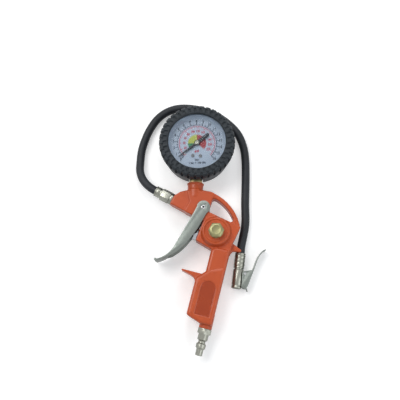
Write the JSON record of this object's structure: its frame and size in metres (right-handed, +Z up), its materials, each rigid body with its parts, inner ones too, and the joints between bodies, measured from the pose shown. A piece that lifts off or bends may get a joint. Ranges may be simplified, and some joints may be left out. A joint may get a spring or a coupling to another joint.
{
  "type": "tyre inflator",
  "caption": "Hand-held air-line tyre inflator: cast body with grip and trigger lever, dial gauge in a rubber boot, short hose and clip-on tyre valve chuck.",
  "frame": {"origin": "bottom centre of the tool's box without the hose and chuck, on the plane it lies on", "axes": "+Z up from the rest plane and out of the dial, +Y from the air inlet towards the gauge, +X towards the hanging loop, away from the trigger lever"},
  "size_m": [0.1308, 0.2565, 0.0346],
  "materials": {
    "body_paint": "satin",
    "plated_steel": "satin",
    "sheet_steel": "satin",
    "spring_steel": "polished",
    "brass": "satin",
    "tube_bronze": "polished",
    "black_rubber": "matte",
    "hose_rubber": "satin",
    "case_steel": "satin",
    "dial_print": "matte",
    "pointer_black": "satin",
    "clear_window": "gloss",
    "copper": "satin"
  },
  "bodies": {
    "gun": {"casting": "body_paint", "lever_pin": "sheet_steel", "valve_bush": "plated_steel", "valve_seat": "brass", "valve_spring": "spring_steel", "brass_plug": "brass", "plug_washer": "copper", "inlet_nipple": "plated_steel", "hose_fitting": "plated_steel", "ferrule_gun": "sheet_steel", "hose": "hose_rubber", "ferrule_chuck": "plated_steel", "chuck_body": "plated_steel", "chuck_pin": "spring_steel", "chuck_spring": "spring_steel", "chuck_seal": "black_rubber", "chuck_depressor": "brass", "gauge_case": "case_steel", "gauge_boot": "black_rubber", "gauge_bezel": "case_steel", "gauge_window": "clear_window", "gauge_dial": "dial_print", "dial_screws": "spring_steel", "gauge_socket": "brass", "socket_washer": "copper", "bourdon_tube": "tube_bronze", "movement_plates": "brass", "movement_pillars": "brass", "movement_screws": "spring_steel", "hairspring": "spring_steel", "case_screws": "spring_steel", "stop_pin": "spring_steel"},
    "lever": {"lever": "sheet_steel"},
    "valve": {"valve_stem": "plated_steel", "valve_rubber": "black_rubber"},
    "clip": {"chuck_clip": "sheet_steel"},
    "pointer": {"gauge_pointer": "pointer_black", "pointer_hub": "plated_steel", "pinion_arbor": "spring_steel"},
    "sector": {"sector_gear": "brass"},
    "tip": {"tube_tip": "brass", "drive_link": "brass"}
  },
  "joints": [
    {"name": "trigger_pull", "type": "hinge", "parent": "gun", "child": "lever", "pos_m": [0.00668, 0.01781, 0.013], "axis": [0, 0, 1], "range_deg": [0, 8.5], "stiffness_Nm_per_rad": 2, "springref_deg": -1.72},
    {"name": "valve_stroke", "type": "slide", "parent": "gun", "child": "valve", "axis": [0.9336, -0.3584, 0], "range_m": [0, 0.00404], "deforming": ["valve_spring"]},
    {"name": "tube_stroke", "type": "slide", "parent": "gun", "child": "tip", "axis": [0.0384, 0.9993, 0], "range_m": [0, 0.0037], "stiffness_N_per_m": 300, "springref_m": -0.00005, "deforming": ["bourdon_tube"]},
    {"name": "sector_turn", "type": "hinge", "parent": "gun", "child": "sector", "pos_m": [-0.00026, 0.0662, 0.02], "axis": [0, 0, 1], "range_deg": [0, 26.7]},
    {"name": "pointer_turn", "type": "hinge", "parent": "gun", "child": "pointer", "pos_m": [0.00037, 0.08269, 0.0271], "axis": [0, 0, -1], "range_deg": [0, 266]},
    {"name": "clip_turn", "type": "hinge", "parent": "gun", "child": "clip", "pos_m": [0.04703, -0.04576, 0.0053], "axis": [0, 0, 1], "range_deg": [0, 16], "stiffness_Nm_per_rad": 0.1, "springref_deg": -2.86, "deforming": ["chuck_spring"]}
  ],
  "couplings": [
    {"joint": "valve_stroke", "follows": "trigger_pull", "m_per_rad": 0.027146},
    {"joint": "sector_turn", "follows": "tube_stroke", "rad_per_m": 125.47},
    {"joint": "pointer_turn", "follows": "tube_stroke", "rad_per_m": 1254.8}
  ]
}
